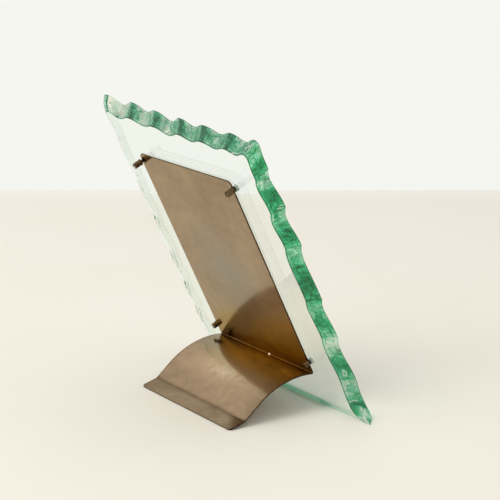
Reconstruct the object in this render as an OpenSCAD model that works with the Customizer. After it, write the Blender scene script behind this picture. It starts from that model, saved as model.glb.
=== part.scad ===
// Picture frame: a thick chiselled crystal leans back on a bent brass sheet.
// The sheet is back plate and arched foot in one. The picture is seen from -Y, and +Z is up.
// Crystal, plate and screws are drawn upright, x across, y out of the rear face, z up it,
// and then leaned back about the crystal's rear bottom edge.

/* [Crystal] */
// Reach of the front face from the plate's middle to the ridges of the left side
crystal_left = 102.5; // [90:0.5:115]
// Reach of the front face from the plate's middle to the ridges of the right side
crystal_right = 105.5; // [90:0.5:115]
// Height from the floor edge to the ridges of the chiselled top, along the slab
crystal_height = 263.5; // [235:0.5:300]
// Thickness of the slab
crystal_thickness = 13; // [10:0.5:16]
// Lean of the slab back from upright, in degrees
crystal_lean = 25.6; // [20:0.1:32]
// How far the rear face is narrower than the front at the left side
slant_left = 4; // [0:0.5:10]
// How far the rear face is narrower than the front at the right side
slant_right = 2; // [0:0.5:10]
// How far the rear face is lower than the front at the top
slant_top = 5.5; // [0:0.5:10]
// Fall of the top edge from its left corner to its right one
top_fall = 4.5; // [0:0.5:8]
// How far the right side leans in from its top to the floor
side_taper = 3.5; // [0:0.5:6]

/* [Chiselled edge] */
// Depth of a scoop on the front face
scoop_front = 5; // [2:0.1:6]
// Depth of a scoop on the rear face
scoop_rear = 3.4; // [1:0.1:6]
// Slip of a ridge from front to rear face, up the two sides
side_slip = 6.5; // [0:0.5:10]
// Slip of a ridge from front to rear face, along the top
top_slip = 10; // [0:0.5:12]
// How far an edge is hollowed across its thickness
edge_hollow = 0.7; // [0:0.1:1.5]
// Rounding where the edge meets the two faces
arris = 0.8; // [0.4:0.1:1.2]
// Rounding of the slab's corners
corner_radius = 4.5; // [3:0.5:8]
// How far the upper left corner sticks out sideways, on the front face
upper_corner_out = 12; // [0:0.5:18]
// How far that corner is chipped away on the rear face
upper_corner_chip = 8; // [0:0.5:10]
// Height over which the upper left corner runs back into the side
upper_corner_run = 34; // [20:1:50]
// How far the lower right corner sticks out sideways, on the rear face
lower_corner_out = 18.5; // [0:0.5:22]
// Height over which the lower right corner runs back into the side
lower_corner_run = 18; // [12:1:30]
// Steps in each scoop
scoop_steps = 10; // [6:1:12]

/* [Sheet stand] */
// Width of the sheet
sheet_width = 130; // [110:1:140]
// Thickness of the sheet
sheet_thickness = 1.2; // [0.8:0.1:1.6]
// Height of the fold up the crystal
fold_height = 36.6; // [34:0.1:39]
// Height of the plate's top edge up the crystal
plate_top = 222.5; // [200:0.5:230]
// Inner radius of the fold
fold_radius = 0.8; // [0.5:0.1:1.5]
// Radius of the plate's upper corners
plate_corner = 4; // [2:0.5:6]
// Radius of the arched foot, on its upper face
arch_radius = 72.4; // [68:0.2:76]
// Rise of the arch where it leaves the fold, in degrees
arch_rise = 5.4; // [3:0.1:8]
// Fall of the arch where it runs out straight, in degrees
arch_fall = 40; // [37:0.5:42]
// Length of the straight run down to the crease
tail_length = 16.6; // [14:0.1:17]
// Fall of the lip, in degrees
lip_fall = 15; // [12:0.5:20]
// Radius of the lip's corners
lip_corner = 3; // [1:0.5:5]

/* [Picture] */
// Thickness of the card
card_thickness = 0.4; // [0.2:0.1:0.8]
// How far the card stays inside the plate's two side edges
card_side_margin = 4; // [3:0.5:20]
// How far the card stays below the plate's top edge
card_top_margin = 4; // [1:0.5:20]
// How far the card stands above the fold
card_fold_margin = 3.9; // [2:0.1:20]

/* [Screws] */
// How far the upper screws sit below the plate's top edge
screw_top_margin = 7.5; // [6:0.5:30]
// How far the lower screws sit above the fold
screw_fold_margin = 10.4; // [9:0.1:30]
// Diameter of a screw head
head_diameter = 5; // [4.4:0.1:6]
// Length of the upper heads
head_upper = 6.4; // [5:0.1:9]
// Length of the lower heads
head_lower = 3.8; // [3:0.1:5]
// Diameter over the thread
thread_diameter = 3; // [2.5:0.1:3.2]
// Pitch of the thread
thread_pitch = 0.5; // [0.4:0.05:0.6]
// Length of the shank below the washer
shank_length = 6.6; // [6:0.1:7]
// Width of the screwdriver slot
slot_width = 0.9; // [0.6:0.1:1.2]
// Depth of the screwdriver slot
slot_depth = 1.4; // [0.8:0.1:2]
// Thickness of a washer
washer_thickness = 0.5; // [0.3:0.1:0.8]
// Diameter of a washer
washer_diameter = 5.6; // [5:0.1:7]
// How far the upper left screw is backed out
backed_out = 1.6; // [0:0.1:2]

/* [Plugs] */
// Diameter of an anchor plug and of its hole in the crystal
plug_diameter = 4.8; // [4.5:0.1:5.5]
// Length of a plug
plug_length = 6.5; // [6:0.1:7.5]
// Depth of the straight part of a hole
hole_depth = 7; // [6.8:0.1:9]
// Depth of the drill's cone at the hole's end
hole_cone = 1.2; // [0.8:0.1:1.5]
// Width of the slits in a plug's inner end
plug_slit = 0.7; // [0.4:0.1:1]
// Length of the slits in a plug's inner end
plug_slit_length = 4; // [3:0.1:5]

/* [Hidden] */
$fn = 64;
// Room between a turning thread and the bore of its plug
thread_room = 0.05;
// Room between a shank and the washer or the plate around it
shank_room = 0.3;
// Room on either side of the card, so that it slides
card_room = 0.02;
// Depth and end chamfer of the thread grooves and of the head
thread_depth = 0.3;
head_chamfer = 0.35;
// Overlap that lets a cut run past a face
past = 1;
// Overlap that fuses two neighbouring stretches of the sheet, along straight ones and round bends
seam = 0.02;
seam_angle = 1;
// Steps of the slab's rounded corners
corner_steps = 4;
// Full turn, half turn and right angle
turn = 360;
half_turn = 180;
right_angle = 90;

// Scoops of each side, in the order of the walk round the slab: up the left side, along the top from
// the left and down the right side. Each has the share of the side at which it ends in a ridge, the
// share of its own length at which it is deepest, and two shares of the scoop depth: its own depth
// and how far the ridge at its end lies back.
left_scoop_shares = [
    [0.152, 0.5, 0.7, 0.1], [0.253, 0.6, 0.8, -0.1], [0.353, 0.62, 0.9, 0.15], [0.502, 0.6, 0.7, 0],
    [0.63, 0.64, 0.9, 0.1], [0.8, 0.6, 0.8, -0.1], [1, 0.55, 0.5, 0]
];
top_scoop_shares = [
    [0.153, 0.52, 1.08, 0.03], [0.315, 0.58, 0.82, 0.29], [0.495, 0.59, 1.16, 0.26],
    [0.657, 0.57, 0.84, 0.22], [0.843, 0.6, 0.78, 0.12], [1, 0.57, 0.86, 0]
];
right_scoop_shares = [
    [0.079, 0.5, 0.15, 0.18], [0.209, 0.33, 0.9, -0.28], [0.347, 0.36, 1.15, -0.35], [0.551, 0.28, 1, 0.26],
    [0.689, 0.3, 0.8, 0.15], [0.85, 0.37, 0.9, -0.15], [1, 0.45, 0.35, 0]
];
// Layers through the thickness as shares of it, from the front face to the rear face
layer_shares = [0, 0.015, 0.06, 0.25, 0.5, 0.75, 0.94, 0.985, 1];
// Share of the arris that each of those layers is drawn in
arris_shares = [1, 0.35, 0, 0, 0, 0, 0, 0.35, 1];
// How closely the pull of a corner stays at its side
corner_grip = 6;
// How the reach of each corner changes on its way from the front face to the rear face
upper_corner_bulge = 3;
lower_corner_bulge = 0.75;
// How fast each corner runs back into the side
upper_corner_fade = 2;
lower_corner_fade = 5;

// Heights of the two pairs of screws up the crystal
screw_upper = plate_top - screw_top_margin;
screw_lower = fold_height + screw_fold_margin;

// Origin: the middle of the ground edge on the floor, below the plate's middle
rear_edge_y = crystal_thickness / cos(crystal_lean) / 2;

// Place of a layer in front of the rear face, and the slab's height there where it meets the floor
function layer_y(k) = -crystal_thickness * (1 - k);
function floor_z(k) = layer_y(k) * tan(crystal_lean);

// Depth of one scoop along its length: 0 on its ridges, 1 at the given share of its length
function scoop(t, valley) = (1 - cos(turn * pow(t, ln(0.5) / ln(valley)))) / 2;
function scoop_depth(k) = scoop_front + (scoop_rear - scoop_front) * k;

// Points of a side as [share of its length, share of the scoop's depth]
function side_steps(scoops) = [
    for (i = [0 : len(scoops) - 1]) for (j = [0 : scoop_steps - 1])
        let (
            share = j / scoop_steps,
            from = i == 0 ? 0 : scoops[i - 1][0],
            back = i == 0 ? 0 : scoops[i - 1][3],
            blend = (1 - cos(half_turn * share)) / 2
        )
        [
            from + (scoops[i][0] - from) * share,
            scoops[i][2] * scoop(share, scoops[i][1]) + back + (scoops[i][3] - back) * blend
        ]
];
left_steps = side_steps(left_scoop_shares);
top_steps = side_steps(top_scoop_shares);
right_steps = side_steps(right_scoop_shares);

// How far a layer's outline is drawn in all round: rounded arris and hollowed edge
function drawn_in(i) = arris * arris_shares[i] + edge_hollow * sin(half_turn * layer_shares[i]);
// The same points as [distance along the side, distance drawn in]; ridges slip, but not at the corners
function side_run(steps, i, length, slip) = [
    for (s = steps) [
        s[0] * length + slip * layer_shares[i] * sin(half_turn * s[0]),
        s[1] * scoop_depth(layer_shares[i]) + drawn_in(i)
    ]
];

// Rounded corner between two sides, up to where the next side begins
function corner_arc(centre, from, i) = [
    for (j = [0 : corner_steps - 1])
        let (a = from + right_angle * j / corner_steps)
        centre + (corner_radius - drawn_in(i)) * along(a)
];

// Larger changes of the outline: the top falls to the right, the right side tapers towards the floor,
// and two opposite corners stick out
function fade(from_corner, run, power) = pow(max(0, 1 - max(from_corner, 0) / run), power);
function upper_out(z, k) =
    (upper_corner_out - (upper_corner_out + upper_corner_chip) * pow(k, upper_corner_bulge))
    * fade(crystal_height - z, upper_corner_run, upper_corner_fade);
function lower_out(z, k) =
    lower_corner_out * pow(k, lower_corner_bulge) * fade(z, lower_corner_run, lower_corner_fade);
function shaped(x, z, k) =
    let (
        height_share = z / crystal_height,
        right_share = (crystal_left - x) / (crystal_left + crystal_right),
        out = x > 0 ? upper_out(z, k) : side_taper * (1 - height_share) - lower_out(z, k)
    )
    [
        x + out * min(1, pow(x / crystal_left, corner_grip)),
        z - top_fall * right_share * max(0, height_share)
    ];

// Outline of layer i, walked up the left side, along the top and down the right side
function outline(i) =
    let (
        k = layer_shares[i],
        xl = crystal_left - slant_left * k, xr = -crystal_right + slant_right * k,
        zt = crystal_height - slant_top * k, zb = floor_z(k),
        side_length = zt - zb - corner_radius, top_length = xl - xr - 2 * corner_radius,
        walk = concat(
            [for (s = side_run(left_steps, i, side_length, side_slip)) [xl - s[1], zb + s[0]]],
            corner_arc([xl - corner_radius, zt - corner_radius], 0, i),
            [for (s = side_run(top_steps, i, top_length, top_slip)) [xl - corner_radius - s[0], zt - s[1]]],
            corner_arc([xr + corner_radius, zt - corner_radius], right_angle, i),
            [for (s = side_run(right_steps, i, side_length, -side_slip)) [xr + s[1], zt - corner_radius - s[0]]],
            [[xr + drawn_in(i), zb]]
        )
    )
    [for (p = walk) p[1] == zb ? [shaped(p[0], zb, k)[0], zb] : shaped(p[0], p[1], k)];

last_layer = len(layer_shares) - 1;
layers = [for (i = [0 : last_layer]) outline(i)];
ring = len(layers[0]);

module leaned() {
    translate([0, rear_edge_y, 0]) rotate([-crystal_lean, 0, 0]) children();
}

// The slab: a loft through its layers, flat where it is ground to stand on the floor
module chiselled_slab() {
    points = concat(
        [for (i = [0 : last_layer]) for (p = layers[i]) [p[0], layer_y(layer_shares[i]), p[1]]],
        [for (k = [0, 1]) [0, layer_y(k), crystal_height / 2]]
    );
    bands = [
        for (i = [0 : last_layer - 1]) for (j = [0 : ring - 1])
            let (a = i * ring + j, b = i * ring + (j + 1) % ring, c = a + ring, d = b + ring)
            each [[a, c, b], [b, c, d]]
    ];
    // Both faces are fans about their middle points, which come last in the list
    middle = (last_layer + 1) * ring;
    front = [for (j = [0 : ring - 1]) [middle, j, (j + 1) % ring]];
    rear = [for (j = [0 : ring - 1]) [middle + 1, last_layer * ring + (j + 1) % ring, last_layer * ring + j]];
    polyhedron(points, concat(bands, front, rear), convexity = 10);
}

module at_screws() {
    for (side = [1, -1]) for (height = [screw_upper, screw_lower])
        at_screw(side, height) children();
}

// Local frame of one screw: z along its axis, out of the crystal's rear face
module at_screw(side, height) {
    translate([side * sheet_width / 2, 0, height]) rotate([-right_angle, 0, 0]) children();
}

module crystal() {
    color([0.62, 0.86, 0.74, 0.5]) leaned() difference() {
        chiselled_slab();
        at_screws() {
            translate([0, 0, -hole_depth]) cylinder(h = hole_depth + past, d = plug_diameter);
            translate([0, 0, -hole_depth - hole_cone]) cylinder(h = hole_cone, d1 = 0, d2 = plug_diameter);
        }
    }
}

// Profile of the sheet in the plane of y and z, walked from the plate down to the lip
plate_out = card_thickness + 2 * card_room + sheet_thickness;
fold_angle = right_angle - crystal_lean - arch_rise;
fold_corner = [
    fold_height * sin(crystal_lean) + plate_out * cos(crystal_lean),
    fold_height * cos(crystal_lean) - plate_out * sin(crystal_lean)
];
fold_reach = fold_radius / sin(fold_angle / 2);
fold_run = fold_radius / tan(fold_angle / 2);
fold_middle = fold_corner + fold_reach * along(arch_rise + fold_angle / 2);
arch_start = fold_middle - fold_radius * along(right_angle + arch_rise);
arch_centre = arch_start - arch_radius * along(right_angle + arch_rise);
arch_end = arch_centre + arch_radius * along(right_angle - arch_fall);
crease = arch_end + tail_length * along(-arch_fall);
lip_length = (crease[1] - sheet_thickness * cos(lip_fall)) / sin(lip_fall);
lip_end_y = crease[0] + lip_length * cos(lip_fall);

// Unit vector at an angle, in the plane of the profile
function along(angle) = [cos(angle), sin(angle)];

// Part of a ring between two angles
module ring_sector(middle, outer, inner, from, to) {
    reach = 2 * outer;
    steps = 6;
    translate(middle) intersection() {
        difference() {
            circle(r = outer, $fn = 256);
            circle(r = inner, $fn = 256);
        }
        polygon(concat([[0, 0]], [for (i = [0 : steps]) reach * along(from + (to - from) * i / steps)]));
    }
}

module foot_profile() {
    // Fold, arch, straight run and lip, each one sheet thick below its upper face
    ring_sector(
        fold_middle, fold_radius + sheet_thickness, fold_radius,
        half_turn - crystal_lean - seam_angle, 3 * right_angle + arch_rise + seam_angle
    );
    ring_sector(
        arch_centre, arch_radius, arch_radius - sheet_thickness,
        right_angle + arch_rise, right_angle - arch_fall
    );
    translate(arch_end) rotate(-arch_fall) translate([-seam, -sheet_thickness])
        square([tail_length + seam, sheet_thickness]);
    translate(crease) rotate(-lip_fall) translate([0, -sheet_thickness])
        square([lip_length, sheet_thickness]);
    ring_sector(
        crease, sheet_thickness, 0,
        -right_angle - arch_fall - seam_angle, -right_angle - lip_fall + seam_angle
    );
}

// What a rounded corner loses, with the corner at the origin and the sheet towards -x and -y
module corner_loss(radius) {
    translate([-radius, -radius]) difference() {
        square(radius + past);
        circle(r = radius);
    }
}

module stand_sheet() {
    plate_low = fold_height + fold_run - seam;
    color([0.50, 0.40, 0.27]) union() {
        leaned() difference() {
            translate([-sheet_width / 2, plate_out - sheet_thickness, plate_low])
                cube([sheet_width, sheet_thickness, plate_top - plate_low]);
            for (side = [0, 1])
                translate([0, plate_out + past, plate_top]) mirror([side, 0, 0])
                    translate([sheet_width / 2, 0, 0])
                        rotate([right_angle, 0, 0])
                            linear_extrude(height = sheet_thickness + 2 * past) corner_loss(plate_corner);
            at_screws() cylinder(h = plate_out + past, d = thread_diameter + 2 * shank_room);
        }
        translate([0, rear_edge_y, 0]) difference() {
            translate([-sheet_width / 2, 0, 0]) rotate([right_angle, 0, right_angle])
                linear_extrude(height = sheet_width) foot_profile();
            for (side = [0, 1])
                translate([0, lip_end_y, -past]) mirror([side, 0, 0]) translate([sheet_width / 2, 0, 0])
                        linear_extrude(height = crease[1] + 2 * past) corner_loss(lip_corner);
        }
    }
}

module picture_card() {
    card_bottom = fold_height + card_fold_margin;
    card_width = sheet_width - 2 * card_side_margin;
    color([0.93, 0.90, 0.82]) leaned() translate([-card_width / 2, card_room, card_bottom])
        cube([card_width, card_thickness, plate_top - card_top_margin - card_bottom]);
}

module plug(side, height) {
    color([0.42, 0.46, 0.42]) leaned() at_screw(side, height) difference() {
        translate([0, 0, -plug_length]) cylinder(h = plug_length, d = plug_diameter);
        translate([0, 0, -plug_length - past])
            cylinder(h = plug_length + 2 * past, d = thread_diameter + 2 * thread_room);
        for (angle = [0, right_angle]) rotate(angle)
            translate([-plug_diameter, -plug_slit / 2, -plug_length - past])
                cube([2 * plug_diameter, plug_slit, plug_slit_length + past]);
    }
}

module washer(side, height, out) {
    color([0.45, 0.36, 0.24]) leaned() at_screw(side, height) translate([0, 0, plate_out + out])
        difference() {
            cylinder(h = washer_thickness, d = washer_diameter);
            translate([0, 0, -past])
                cylinder(h = washer_thickness + 2 * past, d = thread_diameter + 2 * shank_room);
        }
}

// Half section of a screw: shank with ring grooves for its thread, and a head with a chamfered end
module screw_section(head_length) {
    crest = thread_diameter / 2;
    root = crest - thread_depth;
    grooves = floor((shank_length - thread_pitch) / thread_pitch);
    teeth = [
        for (i = [0 : grooves - 1])
            let (z = -shank_length + (i + 1) * thread_pitch)
            each [[crest, z], [root, z + thread_pitch / 2]]
    ];
    polygon(concat(
        [[0, -shank_length], [root, -shank_length]],
        teeth,
        [
            [crest, -shank_length + (grooves + 1) * thread_pitch],
            [crest, washer_thickness],
            [head_diameter / 2, washer_thickness],
            [head_diameter / 2, washer_thickness + head_length - head_chamfer],
            [head_diameter / 2 - head_chamfer, washer_thickness + head_length],
            [0, washer_thickness + head_length]
        ]
    ));
}

module screw(side, height, head_length, out, slot_angle) {
    color([0.36, 0.29, 0.20]) leaned() at_screw(side, height) translate([0, 0, plate_out + out])
        difference() {
            rotate_extrude() screw_section(head_length);
            rotate(slot_angle)
                translate([-head_diameter, -slot_width / 2, washer_thickness + head_length - slot_depth])
                    cube([2 * head_diameter, slot_width, slot_depth + past]);
        }
}

crystal();
stand_sheet();
picture_card();
plug(1, screw_upper);  // plug_upper_left
plug(-1, screw_upper);  // plug_upper_right
plug(1, screw_lower);  // plug_lower_left
plug(-1, screw_lower);  // plug_lower_right
washer(1, screw_upper, backed_out);  // washer_upper_left
washer(-1, screw_upper, 0);  // washer_upper_right
washer(1, screw_lower, 0);  // washer_lower_left
washer(-1, screw_lower, 0);  // washer_lower_right
screw(1, screw_upper, head_upper, backed_out, 40);  // screw_upper_left
screw(-1, screw_upper, head_upper, 0, 75);  // screw_upper_right
screw(1, screw_lower, head_lower, 0, 15);  // screw_lower_left
screw(-1, screw_lower, head_lower, 0, 110);  // screw_lower_right
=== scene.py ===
import math

import bpy
import numpy as np
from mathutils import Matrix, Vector, geometry


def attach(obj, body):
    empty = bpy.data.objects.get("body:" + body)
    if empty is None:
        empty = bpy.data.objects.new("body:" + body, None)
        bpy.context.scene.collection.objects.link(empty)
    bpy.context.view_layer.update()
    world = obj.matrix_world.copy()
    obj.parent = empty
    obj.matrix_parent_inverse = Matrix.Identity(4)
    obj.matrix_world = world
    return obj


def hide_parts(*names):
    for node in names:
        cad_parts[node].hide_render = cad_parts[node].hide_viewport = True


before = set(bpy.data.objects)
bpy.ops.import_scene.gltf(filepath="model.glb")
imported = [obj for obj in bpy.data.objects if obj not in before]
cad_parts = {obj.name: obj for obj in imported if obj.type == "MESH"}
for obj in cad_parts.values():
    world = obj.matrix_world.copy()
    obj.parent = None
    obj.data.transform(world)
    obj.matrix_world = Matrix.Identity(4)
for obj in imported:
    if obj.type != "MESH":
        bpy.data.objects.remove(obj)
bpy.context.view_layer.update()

# The crystal. One thick slab of green-edged lead crystal, cast and polished on both faces, with two
# sides and the top chiselled in long scoops by hand. It leans back 25.6 degrees and stands on the edge
# that is ground flat. Four blind holes are drilled into its rear face for the plugs.
MM = 0.001
LEAN = math.radians(25.6)
THICKNESS = 13.0
LEFT, RIGHT, HEIGHT = 102.5, 105.5, 263.5
SLANT_LEFT, SLANT_RIGHT, SLANT_TOP = 4.0, 2.0, 5.5
TOP_FALL, SIDE_TAPER = 4.5, 3.5
SCOOP_FRONT, SCOOP_REAR, HOLLOW, ARRIS = 5.0, 3.4, 0.7, 0.8
SIDE_SLIP, TOP_SLIP, CORNER = 6.5, 10.0, 4.5
UPPER_OUT, UPPER_CHIP, UPPER_RUN, UPPER_BULGE = 12.0, 8.0, 34.0, 2.2
LOWER_OUT, LOWER_RUN, CORNER_GRIP = 18.5, 18.0, 6
REAR_EDGE_Y = THICKNESS / math.cos(LEAN) / 2
SCREW_OUT, UPPER_SCREWS, LOWER_SCREWS = 65.0, 215.0, 47.0
SCREWS = [(x, v) for v in (UPPER_SCREWS, LOWER_SCREWS) for x in (SCREW_OUT, -SCREW_OUT)]
HOLE_RADIUS, HOLE_DEPTH, HOLE_CONE = 2.46, 7.1, 1.2
SCOOP_STEPS, CORNER_STEPS = 60, 16

# Each scoop: share of the side at its end, where it is deepest, its depth, how far its end lies back
LEFT_SCOOPS = [(0.152, 0.5, 0.7, 0.1), (0.253, 0.6, 0.8, -0.1), (0.353, 0.62, 0.9, 0.15),
               (0.502, 0.6, 0.7, 0), (0.63, 0.64, 0.9, 0.1), (0.8, 0.6, 0.8, -0.1), (1, 0.55, 0.5, 0)]
TOP_SCOOPS = [(0.153, 0.52, 1.08, 0.03), (0.315, 0.58, 0.82, 0.29), (0.495, 0.59, 1.16, 0.26),
              (0.657, 0.57, 0.84, 0.22), (0.843, 0.6, 0.78, 0.12), (1, 0.57, 0.86, 0)]
RIGHT_SCOOPS = [(0.079, 0.5, 0.15, 0.18), (0.209, 0.33, 0.9, -0.28), (0.347, 0.36, 1.15, -0.35),
                (0.551, 0.28, 1, 0.26), (0.689, 0.3, 0.8, 0.15), (0.85, 0.37, 0.9, -0.15),
                (1, 0.45, 0.35, 0)]


def leaned(x, v, n):
    """Place in metres of slab coordinates in mm, x across, v up the rear face and n out of it: turned back
    by the lean about the rear bottom edge."""
    y = REAR_EDGE_Y + v * math.sin(LEAN) + n * math.cos(LEAN)
    z = v * math.cos(LEAN) - n * math.sin(LEAN)
    return np.stack(np.broadcast_arrays(x, y, z), axis=-1) * MM


def chiselled(scoops):
    """Share of the side and depth: (1 - cos(2 pi t^p)) / 2 in each scoop, p = ln 0.5 / ln(deepest)."""
    t = np.arange(SCOOP_STEPS) / SCOOP_STEPS
    s = np.array(scoops, dtype=float)[:, :, None]
    before = np.concatenate([np.zeros((1, 4, 1)), s[:-1]])
    share = before[:, 0] + (s[:, 0] - before[:, 0]) * t
    dip = (1 - np.cos(2 * np.pi * t ** (np.log(0.5) / np.log(s[:, 1])))) / 2
    back = before[:, 3] + (s[:, 3] - before[:, 3]) * (1 - np.cos(np.pi * t)) / 2
    return share.ravel(), (s[:, 2] * dip + back).ravel()


def slab_outline(k):
    """Outlines x, z of the layers at shares k of the thickness, walked up, along the top and down.

    Each side is a straight line less the depth of its scoops, an arris rounded in a quarter circle and a
    hollow of sin(pi k). The two odd corners are then drawn out by a power of the distance from them.
    """
    k = k[:, None]
    depth = SCOOP_FRONT + (SCOOP_REAR - SCOOP_FRONT) * k
    from_face = np.minimum(k, 1 - k) * THICKNESS / ARRIS
    inset = ARRIS * (1 - np.sqrt(1 - (1 - np.minimum(from_face, 1)) ** 2)) + HOLLOW * np.sin(np.pi * k)
    left, right = LEFT - SLANT_LEFT * k, -RIGHT + SLANT_RIGHT * k
    top, floor_line = HEIGHT - SLANT_TOP * k, -THICKNESS * (1 - k) * math.tan(LEAN)
    tall, wide = top - floor_line - CORNER, left - right - 2 * CORNER
    arc = np.pi / 2 * np.arange(CORNER_STEPS) / CORNER_STEPS
    share, dip = chiselled(LEFT_SCOOPS)
    up = left - dip * depth - inset, floor_line + share * tall + SIDE_SLIP * k * np.sin(np.pi * share)
    bend = (CORNER - inset) * np.cos(arc), (CORNER - inset) * np.sin(arc)
    share, dip = chiselled(TOP_SCOOPS)
    slip = TOP_SLIP * k * np.sin(np.pi * share)
    along = left - CORNER - share * wide - slip, top - dip * depth - inset
    share, dip = chiselled(RIGHT_SCOOPS)
    slip = SIDE_SLIP * k * np.sin(np.pi * share)
    down = right + dip * depth + inset, top - CORNER - share * tall + slip
    x = np.concatenate([up[0], left - CORNER + bend[0], along[0], right + CORNER - bend[1], down[0],
                        right + inset], axis=1)
    z = np.concatenate([up[1], top - CORNER + bend[1], along[1], top - CORNER + bend[0], down[1],
                        floor_line + 0 * k], axis=1)
    rise = z / HEIGHT
    upper = UPPER_OUT - (UPPER_OUT + UPPER_CHIP) * k ** 3 + UPPER_BULGE * np.sin(np.pi * k)
    upper = upper * (1 - (HEIGHT - z).clip(0) / UPPER_RUN).clip(0) ** 2
    lower = LOWER_OUT * k ** 0.75 * (1 - z.clip(0) / LOWER_RUN).clip(0) ** 5
    out = np.where(x > 0, upper, SIDE_TAPER * (1 - rise) - lower)
    fall = TOP_FALL * (LEFT - x) / (LEFT + RIGHT) * rise.clip(0)
    return x + out * np.minimum(1, (x / LEFT) ** CORNER_GRIP), z - fall


def flakes(run, across, size, seed):
    """Marks round scattered points: distance to the nearest in mark sizes, gap to the second, its shade."""
    rng = np.random.default_rng(seed)
    count = int(run.max() / size[0] * THICKNESS / size[1])
    spots = np.stack([rng.uniform(0, run.max(), count), rng.uniform(-1, THICKNESS + 1, count)], axis=1)
    shades = rng.uniform(-1, 1, count)
    first, second, shade = np.full(run.shape, 9.0), np.full(run.shape, 9.0), np.zeros(run.shape)
    for (x, y), own_shade in zip(spots, shades):
        distance = np.hypot((run - x) / size[0], (across - y) / size[1])
        shade = np.where(distance < first, own_shade, shade)
        second = np.minimum(second, np.maximum(distance, first))
        first = np.minimum(first, distance)
    return first, second - first, shade


def ring_faces(rows, ring, start=0):
    """Quads between neighbouring rings of points, numbered row by row."""
    step = np.arange(ring)
    a = start + np.arange(rows - 1)[:, None] * ring + step
    b = start + np.arange(rows - 1)[:, None] * ring + (step + 1) % ring
    return np.stack([a, a + ring, b + ring, b], axis=-1).reshape(-1, 4).tolist()


# Layers through the thickness, close together where the arrises are rounded
rim_depths = np.array([0, 0.06, 0.18, 0.36, 0.58, 0.8])
layer_depths = np.concatenate([
    rim_depths, np.linspace(1.4, THICKNESS - 1.4, 19), THICKNESS - rim_depths[::-1]])
slab_x, slab_z = slab_outline(layer_depths / THICKNESS)
rows, ring = slab_x.shape
left_steps, top_steps, right_steps = (
    SCOOP_STEPS * len(scoops) for scoops in (LEFT_SCOOPS, TOP_SCOOPS, RIGHT_SCOOPS))
step_x = np.roll(slab_x, -1, 1) - np.roll(slab_x, 1, 1)
step_z = np.roll(slab_z, -1, 1) - np.roll(slab_z, 1, 1)
length = np.hypot(step_x, step_z)
run = np.broadcast_to(np.cumsum(length.mean(0) / 2), slab_x.shape)
across = np.broadcast_to(layer_depths[:, None], slab_x.shape)

# Flakes about 6 mm wide and small ones about 3 mm, up to 0.5 mm deep, less so at the arrises and the floor
FLAKE, SMALL_FLAKE = (5.6, 6.4), (2.6, 3.4)
first, gap, shade = flakes(run + 0.3 * across, across, FLAKE, seed=11)
small_first, small_gap, small_shade = flakes(run, across, SMALL_FLAKE, seed=12)
from_arris = np.minimum(across, THICKNESS - across)
hold = np.minimum(1, from_arris / 1.2) * np.minimum(1, slab_z.clip(0) / 6)
mark = 0.55 * np.minimum(first, 0.9) ** 2 + 0.06 * np.minimum(small_first, 0.9) ** 2
mark = mark * (0.25 + 0.75 * hold) * (slab_z > 0.01)

# Cuts 0.3 mm deep, with a white glint painted along each: ends in mm as height on the right side, or x along
# the top, and depth from the front face, then half the width
RIGHT_CUTS = [
    (226, 12, 224.5, 6.5, 0.45), (201.5, 6, 200, 2, 0.35), (203, 4.5, 202.5, 2.5, 0.3),
    (62.5, 12, 61.5, 9.5, 0.35), (61.5, 9.5, 60, 7.6, 0.3), (45.5, 6.6, 42.4, 4.8, 0.35),
    (42.4, 4.8, 39, 6, 0.35), (45.5, 6.6, 42, 8.6, 0.4), (42, 8.6, 39, 6.2, 0.3), (33, 7, 32, 8.5, 0.35),
    (36, 6.5, 35, 7.5, 0.3), (16.5, 12.4, 15, 8.5, 0.4), (15, 8.5, 12.6, 4.4, 0.35),
    (0.6, 12.6, 2.2, 9.2, 0.7), (3.5, 12.3, 1.2, 10.8, 0.5)]
TOP_CUTS = [(-84, 12.6, -92, 10.6, 0.45), (-93, 9, -95, 5.5, 0.4), (-95, 5.5, -97, 8, 0.4),
            (-97, 8, -98.6, 4, 0.4), (-98.6, 4, -99.6, 6.5, 0.4), (-101, 6, -101.4, 3, 0.4)]
CUT_SPREAD, CUT_DEPTH = 1.4, 0.3


def nearness(a, b, cuts):
    """1 on the middle line of a cut, falling to 0 at its edges: 1 - distance to the segment / half width."""
    near = np.zeros(a.shape)
    for a0, b0, a1, b1, half_width in cuts:
        t = ((a - a0) * (a1 - a0) + (b - b0) * (b1 - b0)) / ((a1 - a0) ** 2 + (b1 - b0) ** 2)
        t = t.clip(0, 1)
        distance = np.hypot(a - a0 - t * (a1 - a0), b - b0 - t * (b1 - b0))
        near = np.maximum(near, 1 - distance / (CUT_SPREAD * half_width))
    return near


def bell(place, centre, width):
    """Bell curve exp(-((place - centre) / width)^2)."""
    return np.exp(-((place - centre) / width) ** 2)


# Which side each step of the ring is on, and how far along its own scoop it is
ON_LEFT, ON_TOP, ON_RIGHT = range(3)
side = np.repeat([ON_LEFT, ON_TOP, ON_RIGHT], [left_steps, top_steps + 2 * CORNER_STEPS, right_steps + 1])
in_scoop = np.arange(SCOOP_STEPS) / SCOOP_STEPS
scoop_place = np.concatenate([
    np.tile(in_scoop, len(LEFT_SCOOPS)), np.zeros(CORNER_STEPS), np.tile(in_scoop, len(TOP_SCOOPS)),
    np.full(CORNER_STEPS, 0.5), np.tile(in_scoop, len(RIGHT_SCOOPS)), [0.0]])
near = np.where(side == ON_RIGHT, nearness(slab_z, across, RIGHT_CUTS), 0)
near = np.where(side == ON_TOP, nearness(slab_x, across, TOP_CUTS), near)
mark = mark + CUT_DEPTH * near
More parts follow.
